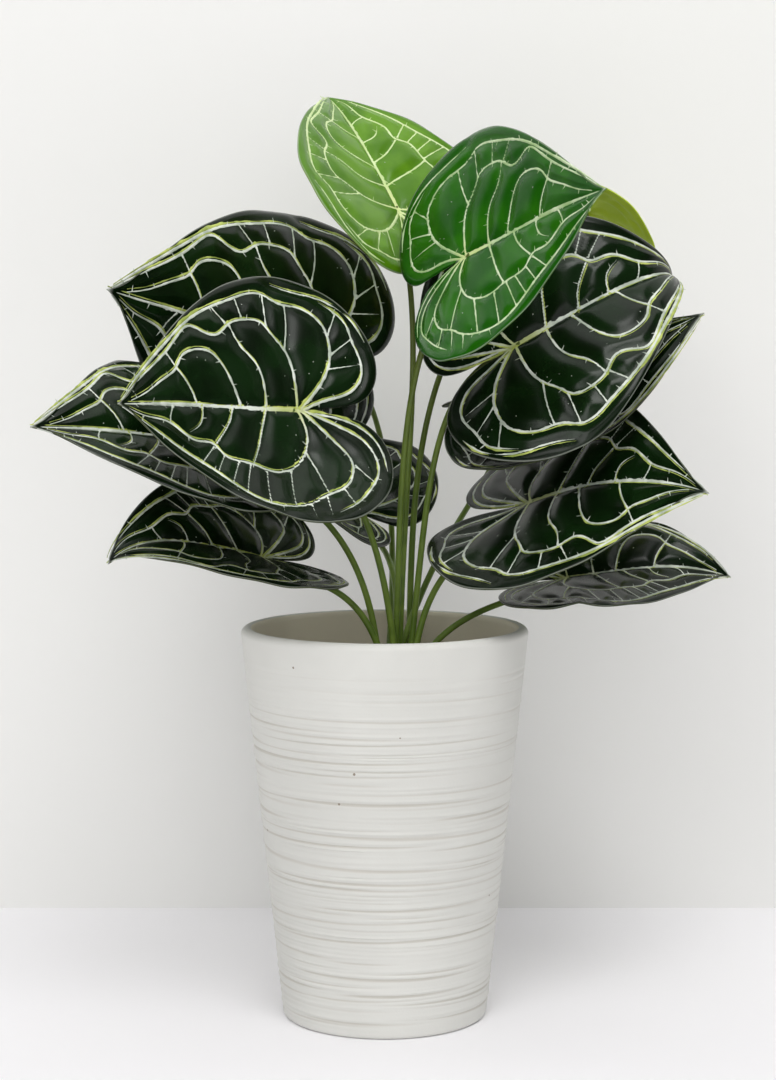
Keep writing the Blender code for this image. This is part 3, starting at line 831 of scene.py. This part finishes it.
def pot_material():
    """Matte warm-white glaze with a faint cloudiness, a few dark specks and a brighter cream inside
    that is painted light.
    """
    material, tree, shader = new_material("pot_white", Specular_IOR_Level=0.35)
    place = object_place(tree)
    clouds = effect(tree, CLOUDS, Place=place, Scale=9.0)
    colour = mix_colours(tree, clouds, srgb(217, 217, 212), srgb(225, 225, 220))
    groove = add_node(tree, "Attribute", attribute_name="groove").outputs["Fac"]
    dust = ranged(tree, groove, -0.35, -0.05, 0.5, 0.0)
    colour = mix_colours(tree, dust, colour, srgb(188, 182, 170))
    specks = effect(tree, FLECKS, Place=place, Scale=110.0, Reach=0.09, Share=0.04)
    colour = mix_colours(tree, specks, colour, srgb(150, 140, 126))
    # Painted light: the inner wall is made a brighter cream than the glaze, standing in for light
    # falling into the pot
    inside = add_node(tree, "Attribute", attribute_name="inside").outputs["Fac"]
    colour = mix_colours(tree, inside, colour, srgb(247, 240, 220))
    tree.links.new(colour, shader["Base Color"])
    tree.links.new(ranged(tree, clouds, 0.0, 1.0, 0.58, 0.68), shader["Roughness"])
    bumped(tree, shader, effect(tree, GRAIN, Place=place, Scale=700.0), 0.0002, 0.4)
    return material


def soil_material():
    """Dark, damp-looking potting soil with paler crumbs."""
    material, tree, shader = new_material("soil_brown", Specular_IOR_Level=0.25)
    place = object_place(tree)
    clouds = effect(tree, CLOUDS, Place=place, Scale=160.0)
    colour = mix_colours(tree, clouds, srgb(62, 47, 34), srgb(104, 82, 60))
    flecks = effect(tree, FLECKS, Place=place, Scale=330.0, Reach=0.3, Share=0.15)
    tree.links.new(mix_colours(tree, flecks, colour, srgb(150, 128, 98)), shader["Base Color"])
    tree.links.new(ranged(tree, clouds, 0.0, 1.0, 0.95, 0.8), shader["Roughness"])
    bumped(tree, shader, effect(tree, GRAIN, Place=place, Scale=900.0), 0.0006, 0.8)
    return material


def make_leaf_materials():
    """Face, back and edge materials for each skin, and its two print materials."""
    chalk = srgb(206, 212, 200)
    backs = {
        "dark": (srgb(46, 56, 30), srgb(66, 74, 40)),
        "lime": (srgb(120, 150, 60), srgb(140, 170, 80)),
        "green": (srgb(60, 96, 30), srgb(80, 116, 44)),
        # olive: partly the back's own yellow-olive colour, partly painted light, brightened to stand in
        # for light shining through the blade
        "olive": (srgb(176, 202, 34), srgb(190, 214, 54)),
    }
    faces = {
        "dark": (srgb(5, 20, 3), srgb(15, 36, 12)),
        "lime": (srgb(74, 122, 10), srgb(98, 146, 30)),
        "green": (srgb(18, 80, 0), srgb(36, 100, 6)),
        "olive": (srgb(132, 150, 24), srgb(152, 170, 44)),
    }
    prints = {
        "dark": ((srgb(226, 232, 222), srgb(176, 186, 172)), (srgb(196, 208, 110), srgb(140, 156, 70))),
        "lime": ((srgb(214, 232, 176), srgb(196, 218, 150)), (srgb(190, 220, 130), srgb(160, 200, 96))),
        "green": ((srgb(206, 222, 184), srgb(160, 190, 130)), (srgb(150, 190, 70), srgb(110, 160, 50))),
        "olive": ((srgb(206, 214, 150), srgb(184, 196, 110)), (srgb(190, 200, 90), srgb(160, 176, 60))),
    }
    hubs = {
        "dark": srgb(186, 196, 92),
        "lime": srgb(214, 226, 150),
        "green": srgb(206, 218, 140),
        "olive": srgb(200, 206, 120),
    }
    made = {}
    for skin, (deep, glow) in faces.items():
        made[skin] = (
            leaf_face_material(skin, deep, glow, chalk),
            leaf_back_material("leaf_back_" + skin, *backs[skin]),
            leaf_back_material("leaf_rim_" + skin, *backs[skin]),
            print_material("print_chalk_" + skin, *prints[skin][0], hubs[skin]),
            print_material("print_lime_" + skin, *prints[skin][1], hubs[skin]),
        )
    return made


def dress_plant():
    """Every leaf with its veins and stem, the pot and the soil, each in its node's place."""
    skins = make_leaf_materials()
    olive = stem_material()
    for leaf in LEAVES:
        face, back, rim, chalk, lime = skins[leaf.skin]
        slot = "leaf_" + leaf.skin
        put_in_place(make_blade(leaf, [face, back, rim]), slot, "leaf_" + leaf.name)
        put_in_place(make_veins(leaf, [chalk, lime]), slot)
        put_in_place(make_stem(leaf, olive), "stem", "stem_" + leaf.name)
    put_in_place(make_pot(pot_material()), "pot", "pot")
    put_in_place(make_soil(soil_material()), "soil", "soil")


SHELF_BACK = 0.269
SKY_ON_OBJECT = 0.26
SKY_IN_GLOSS = 0.06
SKY_BEHIND = 0.86
SOFT_LIGHTS = (
    # name, place, size, power
    ("window", (-0.8, -2.0, 1.8), 1.0, 12.6),
    ("skylight", (0.3, -1.3, 2.4), 1.0, 18.9),
    ("room", (0.0, -2.8, 1.0), 1.6, 12.6),
    ("ceiling", (0.0, -0.3, 2.4), 2.0, 16.8),
)
LIGHTS_AIM = (0, 0, 0.3)
CAMERA_PLACE = (0.00203, -1.5, 0.435)
CAMERA_LOOKS_DOWN = 5.164
LENS = 80.607


def build_stage():
    """A white shelf against a pale wall, which only shows from its front."""
    shelf_white, _, shader = new_material("shelf_white", Roughness=0.6)
    shader["Base Color"].default_value = srgb(250, 249, 252)
    wall_white, tree, shader = new_material("wall_white", Roughness=0.8)
    shader["Base Color"].default_value = srgb(243, 243, 241)
    behind = add_node(tree, "NewGeometry").outputs["Backfacing"]
    clear = add_node(tree, "BsdfTransparent").outputs["BSDF"]
    painted = tree.nodes["Principled BSDF"].outputs["BSDF"]
    sided = add_node(tree, "MixShader", {0: behind, 1: painted, 2: clear}).outputs["Shader"]
    tree.links.new(sided, tree.nodes["Material Output"].inputs["Surface"])
    for name, material, level, size, turn in (
        ("shelf", shelf_white, (0, 0, 0), 8.0, 0),
        ("wall", wall_white, (0, SHELF_BACK, 1.0), 6.0, pi / 2),
    ):
        shape = bmesh.new()
        place = Matrix.Translation(level) @ Matrix.Rotation(turn, 4, "X")
        bmesh.ops.create_grid(shape, x_segments=1, y_segments=1, size=size / 2, matrix=place)
        linked(shape, name, [material])


def add_soft_light(name, place, size, power):
    """A large square light at a place, turned to shine at the pot."""
    lamp = bpy.data.lights.new(name, "AREA")
    lamp.shape = "SQUARE"
    lamp.size = size
    lamp.energy = power
    lamp.color = (1.0, 0.995, 0.985)
    holder = bpy.data.objects.new(name, lamp)
    holder.location = place
    ray = Vector(LIGHTS_AIM) - Vector(place)
    holder.rotation_euler = ray.to_track_quat("-Z", "Y").to_euler()
    bpy.context.scene.collection.objects.link(holder)


def light_the_scene():
    scene = bpy.context.scene
    scene.view_settings.view_transform = "Standard"
    world = bpy.data.worlds.new("studio")
    world.use_nodes = True
    tree = world.node_tree
    sky = tree.nodes["Background"].inputs
    sky["Color"].default_value = (1.0, 0.995, 0.99, 1.0)
    ray = add_node(tree, "LightPath").outputs
    glow = ranged(tree, ray["Is Glossy Ray"], 0.0, 1.0, SKY_ON_OBJECT, SKY_IN_GLOSS)
    glow = ranged(tree, ray["Is Camera Ray"], 0.0, 1.0, glow, SKY_BEHIND)
    tree.links.new(glow, sky["Strength"])
    scene.world = world
    for name, place, size, power in SOFT_LIGHTS:
        add_soft_light(name, place, size, power)


def place_camera():
    """The photograph's viewpoint: in front, a little above the leaves' middle."""
    lens = bpy.data.cameras.new("camera")
    lens.lens = LENS
    camera = bpy.data.objects.new("camera", lens)
    camera.location = CAMERA_PLACE
    camera.rotation_euler = (radians(90 - CAMERA_LOOKS_DOWN), 0, 0)
    bpy.context.scene.collection.objects.link(camera)
    bpy.context.scene.camera = camera


place_camera()
dress_plant()
build_stage()
light_the_scene()
